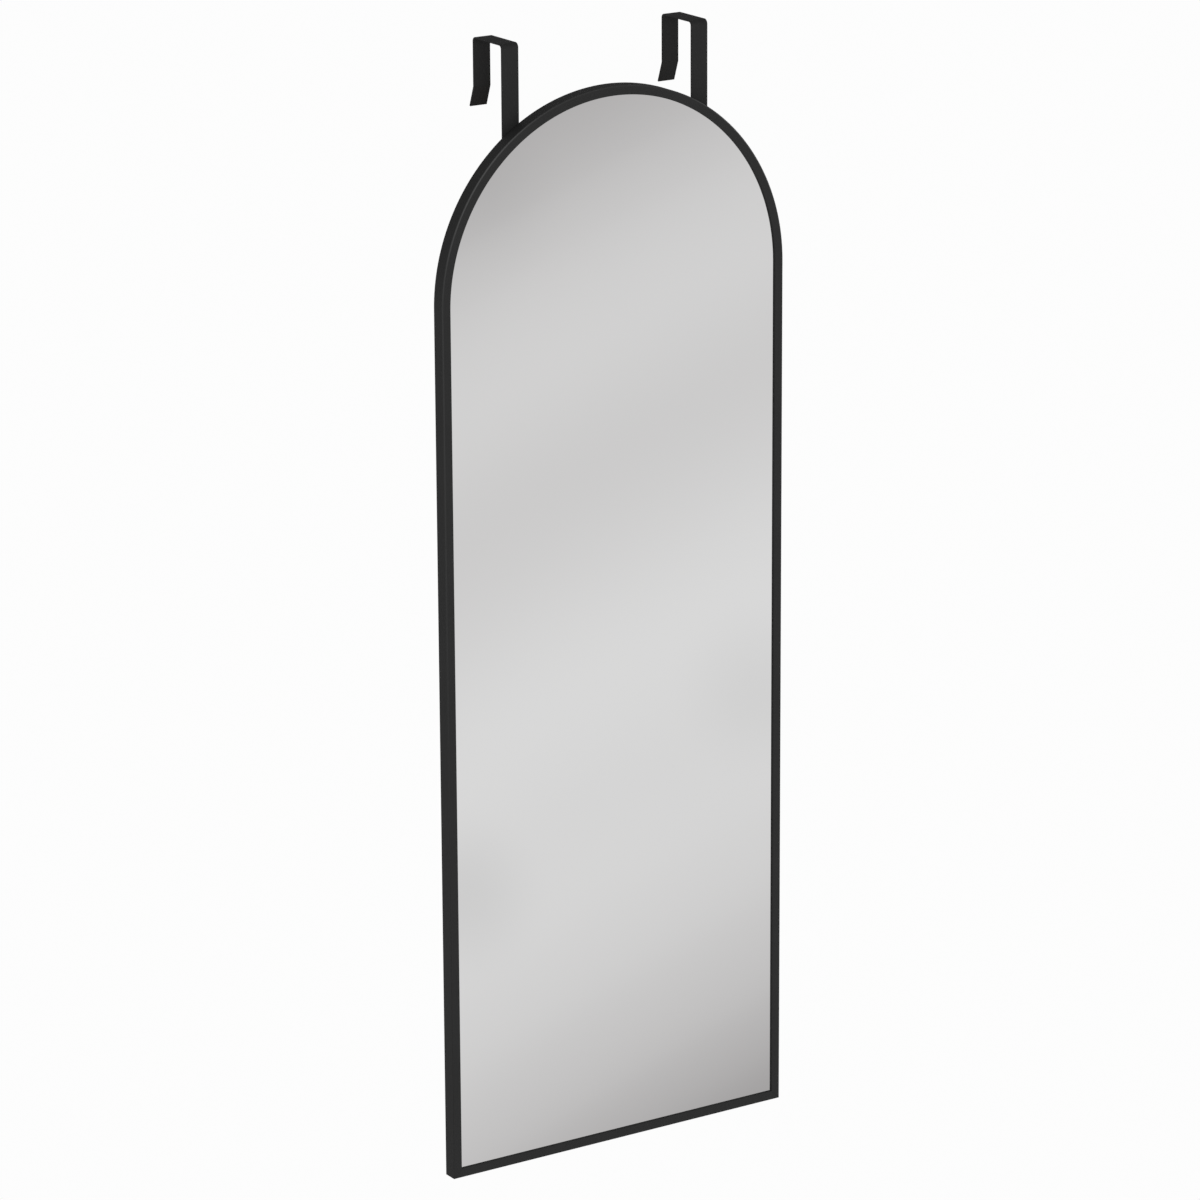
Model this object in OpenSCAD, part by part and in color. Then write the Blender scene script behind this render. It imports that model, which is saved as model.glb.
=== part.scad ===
// Arch-topped mirror in a thin metal channel, hung over a door by two slotted strap hooks.
// +Z is up and +Y points into the door. The origin lies on the door's top edge, midway
// between the hooks, in the plane of the door's front face.

/* [Mirror panel] */
// Overall width of the frame, which is also the arch's diameter
mirror_w = 400; // [380:10:600]
// Overall height of the frame, from the bottom rail to the top of the arch
mirror_h = 1100; // [900:10:1800]
// Thickness of the silvered glass
glass_t = 4; // [3:0.5:6]
// Thickness of the shatter film on the back of the glass
film_t = 0.2; // [0.1:0.05:0.5]
// Thickness of the foam tape between film and board
tape_t = 1; // [1:0.1:2]
// Width of one strip of foam tape
tape_w = 20; // [10:1:30]
// Thickness of the backing board
board_t = 5; // [5:0.5:9]
// Gap between the edges of the glass and board and the wall of the channel
panel_gap = 1; // [0.5:0.1:2]

/* [Frame channel] */
// Width of the rim that shows from the front, and of the flange behind it
rim_w = 9.5; // [9:0.5:14]
// Thickness of the front lip
lip_t = 2; // [1.5:0.1:3]
// Thickness of the outer wall
wall_t = 1.5; // [1:0.1:2]
// Thickness of the back flange
flange_t = 1.5; // [1:0.1:2]
// Radius on the channel's edges
edge_r = 0.6; // [0.2:0.1:0.9]
// Space behind the board for the spring clips and corner keys
clip_space = 2.3; // [1.8:0.1:2.4]

/* [Corner joints] */
// Length of each arm of a corner key, from the frame's outer corner
key_arm = 45; // [40:1:60]
// Width of a corner key's arm
key_w = 7; // [6:0.5:7]
// First screw of each arm, from the frame's outer corner
key_screw_first = 16; // [14:1:18]
// Distance to the second screw of each arm
key_screw_pitch = 18; // [12:1:20]
// Diameter of the corner screws
key_screw_d = 3; // [2.5:0.5:3]
// Diameter of the corner screws' heads
key_head_d = 5.5; // [5:0.1:6]
// Height of the corner screws' heads
key_head_h = 1.3; // [1:0.1:1.6]

/* [Spring clips] */
// Length of a spring clip
clip_len = 36; // [24:1:50]
// Width of a spring clip
clip_w = 12; // [10:0.5:16]
// Thickness of its spring steel
clip_t = 0.4; // [0.3:0.1:0.6]

/* [Hooks] */
// Width of the strap
strap_w = 19; // [16:1:24]
// Thickness of the strap
strap_t = 1.5; // [1.2:0.1:2.5]
// Space between shank and rear leg, for the door
door_gap = 50; // [38:0.5:60]
// Distance between the centre lines of the two hooks
hook_spacing = 220; // [160:5:240]
// Height of the hooks' top face above the top of the arch
hook_rise = 51; // [40:1:90]
// Height of the rear leg's straight part, from the hook's top face
leg_drop = 49; // [40:1:80]
// Length of the flared tip
tip_len = 21; // [15:1:30]
// Angle by which the tip flares away from the door
tip_angle = 20; // [10:1:35]
// Inside radius of the two top bends
bend_r = 3.2; // [2:0.1:6]
// Inside radius of the bend above the tip
tip_bend_r = 1.5; // [1:0.1:4]
// How far a hook slides up, and down, from the middle of its slot
hook_travel = 25; // [10:1:30]
// Strap left below the slot
slot_end = 10; // [8:1:20]

/* [Hook clamps] */
// Distance between a hook's two clamp screws
clamp_pitch = 50; // [40:1:70]
// Diameter of the clamp screws
clamp_d = 4; // [3.5:0.5:5]
// Diameter of the clamp screws' heads
clamp_head_d = 9; // [8:0.5:11]
// Height of the clamp screws' heads
clamp_head_h = 1.6; // [1.4:0.1:2.5]
// Length of the clamp screws under the head
clamp_len = 10; // [8:0.5:10]
// Diameter of the washers
washer_d = 12; // [10:0.5:14]
// Thickness of the washers
washer_t = 0.8; // [0.5:0.1:1.2]
// Outside diameter of a tee nut's barrel
nut_barrel_d = 5.8; // [5.6:0.1:8]
// Diameter of a tee nut's flange
nut_flange_d = 14; // [10:0.5:18]
// Thickness of a tee nut's flange
nut_flange_t = 0.8; // [0.5:0.1:0.9]

/* [Hook carriers] */
// Length of carrier above the upper clamp screw and below the lower one
carrier_end = 35; // [30:1:50]
// Corner radius of a carrier
carrier_r = 4; // [2:0.5:6]
// Width of the guide ribs beside the strap
rib_w = 1.6; // [1.2:0.1:2.5]
// Height of the guide ribs behind the frame's back
rib_h = 1.2; // [0.8:0.1:1.4]
// Diameter of the wood screws
wood_d = 3; // [2.5:0.5:3.5]
// Diameter of the wood screws' countersunk heads
wood_head_d = 6; // [5.5:0.5:7]
// Length of the wood screws in the board
wood_bite = 4; // [3:0.1:4.5]
// Distance from a carrier's ends to its wood screws
wood_end = 12; // [8:1:16]

/* [Door bumpers] */
// Width of a bumper
bumper_w = 12; // [8:1:20]
// Length of a bumper
bumper_l = 30; // [20:1:50]
// Height of the lower bumpers' middle above the bottom of the frame
bumper_low = 80; // [75:1:200]
// Depth of the upper bumpers' middle below the foot of the arch
bumper_high = 40; // [30:1:200]

/* [Clearances] */
// Gap on each face of a strap that slides
slide_gap = 0.2; // [0.1:0.05:0.4]
// Gap between a strap's edge and the rib beside it
side_gap = 0.3; // [0.2:0.05:0.5]
// Play of a clamp screw in a hook's slot, on the width
slot_play = 0.5; // [0.3:0.1:1]
// Play of a screw or barrel in a plain hole, on the diameter
hole_play = 0.4; // [0.2:0.05:0.6]
// Play of a screw in its thread, on the diameter
thread_play = 0.06; // [0.04:0.02:0.1]
// Gap of the clips and keys to the board or flange that they press on
seat_gap = 0.05; // [0.05:0.01:0.1]
// Gap between the clamp screws' heads and the door's face
head_clear = 0.7; // [0.5:0.1:2]

/* [Hidden] */

left = -1;
right = 1;
arc_fn = 180;
$fn = 48;

// Depths along Y, from the door's face forwards
strap_rear = -(head_clear + clamp_head_h + washer_t + slide_gap);
strap_front = strap_rear - strap_t;
frame_back = strap_front - slide_gap;
flange_front = frame_back - flange_t;
board_back = flange_front - clip_space;
board_front = board_back - board_t;
tape_front = board_front - tape_t;
film_front = tape_front - film_t;
glass_front = film_front - glass_t;
frame_front = glass_front - lip_t;
frame_d = frame_back - frame_front;

// Heights along Z
arch_r = mirror_w / 2;
arch_top = strap_t - hook_rise;
arch_foot = arch_top - arch_r;
frame_bottom = arch_top - mirror_h;
panel_inset = wall_t + panel_gap;

// Hook carriers, kept inside the flange of the arch
hook_x = hook_spacing / 2;
rib_x = strap_w / 2 + side_gap + rib_w / 2;
head_margin = 0.5;
edge_margin = 2;
wood_x = rib_x + rib_w / 2 + head_margin + wood_head_d / 2;
carrier_w = 2 * (wood_x + wood_head_d / 2 + edge_margin);
carrier_h = clamp_pitch + 2 * carrier_end;
carrier_t = frame_back - board_back;
carrier_reach = hook_x + carrier_w / 2;
flange_margin = 2;
flange_r = arch_r - rim_w - flange_margin;
carrier_top = floor(arch_foot + sqrt(pow(flange_r, 2) - pow(carrier_reach, 2)));
carrier_mid = carrier_top - carrier_h / 2;
wood_z = carrier_h / 2 - wood_end;
wood_hole_r = (wood_d + hole_play) / 2;
sink_r = (wood_head_d + hole_play) / 2;

// The slot lets each hook travel from its middle to its two ends
slot_w = clamp_d + slot_play;
slot_len = clamp_pitch + 2 * hook_travel + slot_w;
shank_bottom = carrier_mid - slot_len / 2 - slot_end;

// Corner keys and their screws
key_gap = 0.2;
key_t = clip_space - 2 * seat_gap;
key_inset = wall_t + key_gap + key_w / 2;
key_holes = [key_screw_first, key_screw_first + key_screw_pitch];

// Spring clips: bowed so that the crown meets the flange and the ends meet the board
clip_bow = clip_space - clip_t - 2 * seat_gap;
clip_curve = (clip_len * clip_len / 4 + clip_bow * clip_bow) / (2 * clip_bow);
clip_inset = panel_inset + clip_w / 2;

// Door bumpers, stuck on the board beside the clips
bumper_gap = 1;
bumper_x = arch_r - clip_inset - clip_w / 2 - bumper_gap - bumper_w / 2;

// ---- Shared shapes ----

// Cross-section of the channel: x runs inwards from the outer wall, y from front to back
module channel() {
  difference() {
    intersection() {
      square([rim_w, frame_d]);
      union() {
        translate([edge_r, 0]) square([rim_w - 2 * edge_r, frame_d]);
        translate([0, edge_r]) square([rim_w, frame_d - 2 * edge_r]);
        for (x = [edge_r, rim_w - edge_r], y = [edge_r, frame_d - edge_r])
          translate([x, y]) circle(edge_r);
      }
    }
    translate([wall_t, lip_t]) square([rim_w, frame_d - lip_t - flange_t]);
  }
}

// Front outline of the mirror, set in by the same distance all round
module arch_outline(inset) {
  translate([0, arch_foot]) circle(arch_r - inset, $fn = arc_fn);
  translate([inset - arch_r, frame_bottom + inset])
    square([mirror_w - 2 * inset, arch_foot - frame_bottom - inset]);
}

// A flat shape drawn from the front, from one depth to another
module layer(y_front, y_back) {
  translate([0, y_back, 0]) rotate([90, 0, 0]) linear_extrude(y_back - y_front) children();
}

// Everything below the two 45 degree cuts of the bottom corners
module below_mitres() {
  over = 2;
  reach = arch_r - rim_w - over;
  layer(frame_front - over, frame_back + over)
    polygon([
      [-arch_r - over, frame_bottom - over], [arch_r + over, frame_bottom - over],
      [reach, frame_bottom + rim_w + over], [-reach, frame_bottom + rim_w + over]
    ]);
}

// A rounded bar drawn upright, w wide and l long over its round ends
module stadium(w, l) {
  translate([-w / 2, w / 2 - l / 2]) square([w, l - w]);
  for (s = [-1, 1]) translate([0, s * (l - w) / 2]) circle(w / 2);
}

module rounded_block(w, h, r) {
  translate([-w / 2 + r, -h / 2]) square([w - 2 * r, h]);
  translate([-w / 2, -h / 2 + r]) square([w, h - 2 * r]);
  for (x = [-1, 1], z = [-1, 1])
    translate([x * (w / 2 - r), z * (h / 2 - r)]) circle(r);
}

// Places a piece that is drawn along +Z so that its top faces the door
module facing_door(x, y, z) {
  translate([x, y, z]) rotate([-90, 0, 0]) children();
}

// Centres of one corner's four screws
function corner_points(side) = [
  for (d = key_holes) [side * (arch_r - key_inset), frame_bottom + d],
  for (d = key_holes) [side * (arch_r - d), frame_bottom + key_inset]
];

// Centres of one hook's two clamp screws
function clamp_points(side) = [
  for (s = [1, -1]) [side * hook_x, carrier_mid + s * clamp_pitch / 2]
];

// Centres of one carrier's four wood screws
function wood_points(side) = [
  for (sx = [-1, 1], sz = [1, -1]) [side * hook_x + sx * wood_x, carrier_mid + sz * wood_z]
];

// ---- Frame ----

module corner_holes() {
  for (side = [left, right], p = corner_points(side))
    facing_door(p[0], flange_front - 1, p[1])
      cylinder(h = flange_t + 2, d = key_screw_d + hole_play);
}

module stile() {
  translate([0, 0, frame_bottom]) linear_extrude(arch_foot - frame_bottom)
    translate([arch_r, frame_front]) mirror([1, 0]) channel();
}

module arch_frame() {
  color("#2b2b2c") difference() {
    union() {
      stile();
      mirror([1, 0, 0]) stile();
      translate([0, frame_front, arch_foot]) rotate([-90, 0, 0]) rotate([0, 0, 180])
        rotate_extrude(angle = 180, $fn = arc_fn)
        translate([arch_r, 0]) mirror([1, 0]) channel();
    }
    below_mitres();
    corner_holes();
  }
}

module bottom_rail() {
  color("#2b2b2c") difference() {
    intersection() {
      translate([arch_r, frame_front, frame_bottom]) rotate([0, -90, 0])
        linear_extrude(mirror_w) channel();
      below_mitres();
    }
    corner_holes();
  }
}

module corner_key(side) {
  color("#b9bcbf") difference() {
    layer(flange_front - seat_gap - key_t, flange_front - seat_gap)
      for (arm = [[key_w, key_arm - wall_t - key_gap], [key_arm - wall_t - key_gap, key_w]])
        translate([side * (arch_r - wall_t - key_gap), frame_bottom + wall_t + key_gap])
          mirror([side > 0 ? 1 : 0, 0]) square(arm);
    for (p = corner_points(side))
      facing_door(p[0], board_back, p[1])
        cylinder(h = clip_space, d = key_screw_d + thread_play);
  }
}

// Pan-head screw with a cross recess, from the frame's back into the key
module corner_screws(side) {
  color("#3a3a3b") for (p = corner_points(side))
    facing_door(p[0], frame_back, p[1]) {
      shank = flange_t + seat_gap + key_t;
      translate([0, 0, -shank]) cylinder(h = shank, d = key_screw_d);
      difference() {
        pan_head(key_head_d, key_head_h);
        cross_recess(key_head_d / 2, 0.6, key_head_h - 0.7);
      }
    }
}

// Two crossed slots of length l and width w, cut upwards from height z
module cross_recess(l, w, z) {
  for (turn = [0, 90]) rotate(turn) translate([-l / 2, -w / 2, z]) cube([l, w, 1]);
}

// Low round head with a rounded rim
module pan_head(d, h) {
  r = h / 2;
  rotate_extrude() {
    square([d / 2 - r, h]);
    square([d / 2, h - r]);
    intersection() {
      translate([d / 2 - r, h - r]) circle(r);
      square([d / 2, h]);
    }
  }
}

// ---- Glass and board ----

module mirror_glass() {
  color("#c9c9c9") layer(glass_front, film_front) arch_outline(panel_inset);
}

module safety_film() {
  color("#8f979c") layer(film_front, tape_front) arch_outline(panel_inset);
}

// Four upright strips, and one across the arch
module foam_tape() {
  strip_top = arch_foot - tape_w / 2;
  strip_bottom = frame_bottom + panel_inset + 2 * tape_w;
  color("#e8e6df") layer(tape_front, board_front) {
    for (share = [-0.77, -0.27, 0.27, 0.77])
      translate([share * arch_r - tape_w / 2, strip_bottom])
        square([tape_w, strip_top - strip_bottom]);
    translate([-0.3 * arch_r, arch_foot + 0.7 * arch_r]) square([0.6 * arch_r, tape_w]);
  }
}

module backing_board() {
  color("#6b5138") difference() {
    layer(board_front, board_back) arch_outline(panel_inset);
    for (side = [left, right]) {
      for (p = clamp_points(side))
        facing_door(p[0], board_front - 1, p[1])
          cylinder(h = board_t + 2, d = nut_barrel_d + hole_play);
      for (p = wood_points(side))
        facing_door(p[0], board_back - wood_bite, p[1])
          cylinder(h = wood_bite + 1, d = wood_d + thread_play);
    }
  }
}

module setting_block(side) {
  block_l = 30;
  color("#3c3c3c") translate([side * mirror_w / 4 - block_l / 2, glass_front, frame_bottom + wall_t])
    cube([block_l, board_back - glass_front, panel_gap]);
}

// One clip, lying along z with its crown towards the door
module spring_clip() {
  translate([0, clip_bow + clip_t - clip_curve, 0]) rotate([0, 90, 0])
    translate([0, 0, -clip_w / 2]) linear_extrude(clip_w) intersection() {
      difference() {
        circle(clip_curve, $fn = arc_fn);
        circle(clip_curve - clip_t, $fn = arc_fn);
      }
      translate([-clip_len / 2, 0]) square([clip_len, clip_curve]);
    }
}

// Clips up both stiles, round the arch and along the bottom
module spring_clips() {
  run = arch_foot - frame_bottom;
  color("#a9acae") translate([0, board_back + seat_gap, 0]) {
    for (side = [left, right], share = [0.2, 0.5, 0.8])
      translate([side * (arch_r - clip_inset), 0, frame_bottom + share * run]) spring_clip();
    for (turn = [-60, 0, 60])
      translate([0, 0, arch_foot]) rotate([0, turn, 0])
        translate([0, 0, arch_r - clip_inset]) rotate([0, 90, 0]) spring_clip();
    for (side = [left, right])
      translate([side * mirror_w / 6, 0, frame_bottom + clip_inset]) rotate([0, 90, 0]) spring_clip();
  }
}

// ---- Hook carriers and clamps ----

// A carrier is drawn as the left one, and the right one is its mirror image
module hook_carrier(side) {
  color("#202021") translate([side * hook_x, 0, carrier_mid]) mirror([side - left, 0, 0])
  difference() {
    union() {
      layer(board_back, frame_back) rounded_block(carrier_w, carrier_h, carrier_r);
      for (s = [-1, 1])
        layer(frame_back - 1, frame_back + rib_h) translate([s * rib_x, 0])
          square([rib_w, carrier_h - 2 * carrier_r], center = true);
    }
    for (s = [1, -1])
      facing_door(0, board_back - 1, s * clamp_pitch / 2)
        cylinder(h = carrier_t + 2, d = nut_barrel_d + hole_play);
    for (sx = [-1, 1], sz = [-1, 1])
      facing_door(sx * wood_x, frame_back, sz * wood_z) rotate_extrude()
        polygon([
          [0, -carrier_t - 1], [wood_hole_r, -carrier_t - 1], [wood_hole_r, wood_hole_r - sink_r],
          [sink_r, 0], [sink_r, 1], [0, 1]
        ]);
  }
}

// Countersunk wood screws, flush with the carrier's back
module carrier_screws(side) {
  cone_h = (wood_head_d - wood_d) / 2;
  color("#b9bcbf") for (p = wood_points(side))
    facing_door(p[0], frame_back, p[1]) difference() {
      union() {
        translate([0, 0, -carrier_t - wood_bite]) cylinder(h = carrier_t + wood_bite, d = wood_d);
        translate([0, 0, -seat_gap - cone_h]) cylinder(h = cone_h, d1 = wood_d, d2 = wood_head_d);
      }
      cross_recess(wood_head_d / 2, 0.7, -0.9);
    }
}

module tee_nuts(side) {
  recess = 0.3;
  barrel_l = board_t + carrier_t - recess;
  color("#c7b26a") for (p = clamp_points(side))
    facing_door(p[0], board_front, p[1]) difference() {
      union() {
        translate([0, 0, -nut_flange_t]) cylinder(h = nut_flange_t, d = nut_flange_d);
        cylinder(h = barrel_l, d = nut_barrel_d);
      }
      translate([0, 0, -nut_flange_t - 1])
        cylinder(h = barrel_l + nut_flange_t + 2, d = clamp_d + thread_play);
    }
}

module clamp_washers(side) {
  color("#8d9093") for (p = clamp_points(side))
    facing_door(p[0], strap_rear + slide_gap, p[1]) difference() {
      cylinder(h = washer_t, d = washer_d);
      translate([0, 0, -1]) cylinder(h = washer_t + 2, d = clamp_d + hole_play);
    }
}

// Low-head screws with a hexagon socket
module clamp_screws(side) {
  socket_d = 2.9;
  socket_deep = 1.1;
  color("#2a2a2b") for (p = clamp_points(side))
    facing_door(p[0], strap_rear + slide_gap + washer_t, p[1]) difference() {
      union() {
        translate([0, 0, -clamp_len]) cylinder(h = clamp_len, d = clamp_d);
        pan_head(clamp_head_d, clamp_head_h);
      }
      translate([0, 0, clamp_head_h - socket_deep])
        cylinder(h = socket_deep + 1, d = socket_d, $fn = 6);
    }
}

// ---- Hooks ----

// Side view of the bent strap: x is depth and y is height. Its lengths overlap by a hair, so
// that they are one solid.
module strap_profile() {
  leg_front = strap_rear + door_gap;
  leg_foot = strap_t - leg_drop;
  join = 0.01;
  translate([strap_front, shank_bottom]) square([strap_t, join - bend_r - shank_bottom]);
  translate([strap_rear + bend_r - join, 0]) square([door_gap - 2 * (bend_r - join), strap_t]);
  translate([leg_front, leg_foot - join]) square([strap_t, 2 * join - bend_r - leg_foot]);
  translate([strap_rear + bend_r, -bend_r]) rotate(90) bend(bend_r, 90);
  translate([leg_front - bend_r, -bend_r]) bend(bend_r, 90);
  translate([leg_front + strap_t + tip_bend_r, leg_foot]) rotate(180) {
    bend(tip_bend_r, tip_angle);
    rotate(tip_angle) translate([tip_bend_r, -join]) square([strap_t, tip_len + join]);
  }
}

// A bend in the strap: part of a ring, from angle 0 round to the angle given
module bend(inside_r, angle) {
  outside_r = inside_r + strap_t;
  intersection() {
    difference() {
      circle(outside_r);
      circle(inside_r);
    }
    polygon([
      [0, 0], [2 * outside_r, 0], [2 * outside_r, 2 * outside_r * tan(angle / 2)],
      2 * outside_r * [cos(angle), sin(angle)]
    ]);
  }
}

module hook(side) {
  color("#2b2b2c") difference() {
    translate([side * hook_x - strap_w / 2, 0, 0]) rotate([90, 0, 90])
      linear_extrude(strap_w) strap_profile();
    layer(strap_front - 1, strap_rear + 1)
      translate([side * hook_x, carrier_mid]) stadium(slot_w, slot_len);
  }
}

// ---- Door bumpers ----

module bumper(side, z) {
  color("#4a4a4a") layer(board_back, 0)
    translate([side * bumper_x, z]) stadium(bumper_w, bumper_l);
}

arch_frame();
bottom_rail();
mirror_glass();
safety_film();
foam_tape();
backing_board();
spring_clips();
setting_block(left);  // left_setting_block
setting_block(right);  // right_setting_block
corner_key(left);  // left_corner_key
corner_key(right);  // right_corner_key
corner_screws(left);  // left_corner_screws
corner_screws(right);  // right_corner_screws
hook_carrier(left);  // left_hook_carrier
hook_carrier(right);  // right_hook_carrier
carrier_screws(left);  // left_carrier_screws
carrier_screws(right);  // right_carrier_screws
tee_nuts(left);  // left_tee_nuts
tee_nuts(right);  // right_tee_nuts
clamp_washers(left);  // left_clamp_washers
clamp_washers(right);  // right_clamp_washers
clamp_screws(left);  // left_clamp_screws
clamp_screws(right);  // right_clamp_screws
hook(left);  // left_hook
hook(right);  // right_hook
bumper(left, arch_foot - bumper_high);  // upper_left_bumper
bumper(right, arch_foot - bumper_high);  // upper_right_bumper
bumper(left, frame_bottom + bumper_low);  // lower_left_bumper
bumper(right, frame_bottom + bumper_low);  // lower_right_bumper
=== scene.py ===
import math

import bmesh
import bpy
from mathutils import Matrix, Vector


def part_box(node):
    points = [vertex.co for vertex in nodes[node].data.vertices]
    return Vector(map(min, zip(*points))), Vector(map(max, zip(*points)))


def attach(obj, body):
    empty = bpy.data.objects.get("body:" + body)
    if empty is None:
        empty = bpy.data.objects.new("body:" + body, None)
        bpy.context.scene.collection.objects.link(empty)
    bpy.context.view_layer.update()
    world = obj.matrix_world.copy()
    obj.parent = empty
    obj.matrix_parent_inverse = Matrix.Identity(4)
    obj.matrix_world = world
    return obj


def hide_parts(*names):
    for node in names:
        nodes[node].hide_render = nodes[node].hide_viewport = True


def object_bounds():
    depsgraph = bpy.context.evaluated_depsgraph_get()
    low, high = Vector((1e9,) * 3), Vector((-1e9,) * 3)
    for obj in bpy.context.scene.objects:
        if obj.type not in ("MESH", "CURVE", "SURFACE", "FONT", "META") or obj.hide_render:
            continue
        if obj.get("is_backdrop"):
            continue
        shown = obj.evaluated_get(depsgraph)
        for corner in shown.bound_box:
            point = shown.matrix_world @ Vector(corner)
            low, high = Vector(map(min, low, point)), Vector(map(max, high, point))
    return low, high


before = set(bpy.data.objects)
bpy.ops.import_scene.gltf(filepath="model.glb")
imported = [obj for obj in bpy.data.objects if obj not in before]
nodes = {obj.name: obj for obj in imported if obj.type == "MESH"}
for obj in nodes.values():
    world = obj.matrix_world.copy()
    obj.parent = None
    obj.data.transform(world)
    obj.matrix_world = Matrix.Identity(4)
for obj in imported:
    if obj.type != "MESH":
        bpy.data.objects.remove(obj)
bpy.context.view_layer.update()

MM = 0.001


# ---- Camera ----
# A long lens stands to the left of the mirror and above it, about five and a half metres away.
# The photograph is square, so the lens is given for a 36 mm wide square picture.

CAMERA_LENS = 162.74
CAMERA_SENSOR = 36
CAMERA_REACH = 100
CAMERA_PLACE = Vector((-2.8427, -4.3800, 0.9733))
CAMERA_TURN = math.radians(-32.92)
CAMERA_TILT = math.radians(16.53)
CAMERA_ROLL = math.radians(-0.307)

camera = bpy.data.objects.new("camera", bpy.data.cameras.new("camera"))
bpy.context.scene.collection.objects.link(camera)
camera.data.lens = CAMERA_LENS
camera.data.sensor_width = CAMERA_SENSOR
camera.data.clip_end = CAMERA_REACH
camera.matrix_world = (
    Matrix.Translation(CAMERA_PLACE)
    @ Matrix.Rotation(CAMERA_TURN, 4, "Z")
    @ Matrix.Rotation(math.pi / 2 - CAMERA_TILT, 4, "X")
    @ Matrix.Rotation(CAMERA_ROLL, 4, "Z")
)
bpy.context.scene.camera = camera


# ---- Frame: arch and bottom rail ----
# Thin aluminium channel, bent to a half circle over the two stiles and mitred to the rail.
# It is powder coated in matt black, which leaves a fine orange peel and rubs a little
# brighter along the corners. A painted highlight brightens the ridge round its front.

class Signal:
    """A node's socket. Sums and products of it add the Math nodes that work them out."""

    def __init__(self, wiring, socket):
        self.wiring = wiring
        self.socket = socket

    def __add__(self, other):
        return self.wiring.math("ADD", self, other)

    def __sub__(self, other):
        return self.wiring.math("SUBTRACT", self, other)

    def __rsub__(self, other):
        return self.wiring.math("SUBTRACT", other, self)

    def __mul__(self, other):
        return self.wiring.math("MULTIPLY", self, other)

    def __truediv__(self, other):
        return self.wiring.math("DIVIDE", self, other)

    def __neg__(self):
        return self * -1

    __radd__ = __add__
    __rmul__ = __mul__


class Wiring:
    """The nodes of a material or of the world. Every node but the last comes from add."""

    def __init__(self, owner, end):
        owner.use_nodes = True
        self.tree = owner.node_tree
        self.tree.nodes.clear()
        self.end = self.tree.nodes.new(end)

    def show(self, shader):
        """Ends the nodes with this shader."""
        self.feed(self.end, "Surface", shader)

    def feed(self, node, name, value):
        """Links a signal to a node's socket, or sets the socket to a plain value."""
        socket = node.inputs[name]
        if isinstance(value, Signal):
            self.tree.links.new(value.socket, socket)
        else:
            socket.default_value = value

    def add(self, kind, sockets=None, stops=(), **settings):
        """Adds a node, settles what it does and any ramp's stops, then feeds its sockets.

        Returns its outputs by name, and also by number, because some names repeat.
        """
        node = self.tree.nodes.new(kind)
        for name, value in settings.items():
            setattr(node, name, value)
        if stops:
            ramp = node.color_ramp
            ramp.interpolation = "CARDINAL"
            for place, _ in stops[1:-1]:
                ramp.elements.new(place)
            for stop, (_, colour) in zip(ramp.elements, stops):
                stop.color = colour
        for name, value in (sockets or {}).items():
            self.feed(node, name, value)
        outputs = {}
        for number, socket in enumerate(node.outputs):
            outputs[number] = outputs[socket.name] = Signal(self, socket)
        return outputs

    def math(self, operation, *values):
        return self.add("ShaderNodeMath", dict(enumerate(values)), operation=operation)["Value"]

    def vector_math(self, operation, *values):
        return self.add("ShaderNodeVectorMath", dict(enumerate(values)), operation=operation)

    def length(self, vector):
        return self.vector_math("LENGTH", vector)["Value"]

    def joined(self, **parts):
        """The vector with these X, Y and Z."""
        return self.add("ShaderNodeCombineXYZ", parts)["Vector"]

    def parted(self, vector):
        """The X, Y and Z of a vector."""
        parts = self.add("ShaderNodeSeparateXYZ", {"Vector": vector})
        return parts["X"], parts["Y"], parts["Z"]

    def place(self):
        """Where a point lies on its piece, in metres."""
        return self.add("ShaderNodeTexCoord")["Object"]

    def stretched(self, point, scale):
        """The point with each direction stretched by its own factor."""
        return self.vector_math("MULTIPLY", point, scale)["Vector"]

    def mottle(self, point, size, detail=2.0):
        """Soft noise about 0.5, with patches of about this size in metres."""
        sockets = {"Vector": point, "Scale": 1 / size, "Detail": detail}
        return self.add("ShaderNodeTexNoise", sockets)[0]

    def between(self, signal, low, high):
        """0 up to low, 1 from high on, and smooth in between."""
        sockets = {"Value": signal, "From Min": low, "From Max": high}
        return self.add("ShaderNodeMapRange", sockets, interpolation_type="SMOOTHSTEP")["Result"]

    def blend(self, share, first, second):
        """A colour that goes from the first to the second as the share goes from 0 to 1."""
        # A Mix node takes the share at 0 and its two colours at 6 and 7, and gives one at 2.
        return self.add("ShaderNodeMix", {0: share, 6: first, 7: second}, data_type="RGBA")[2]


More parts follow.
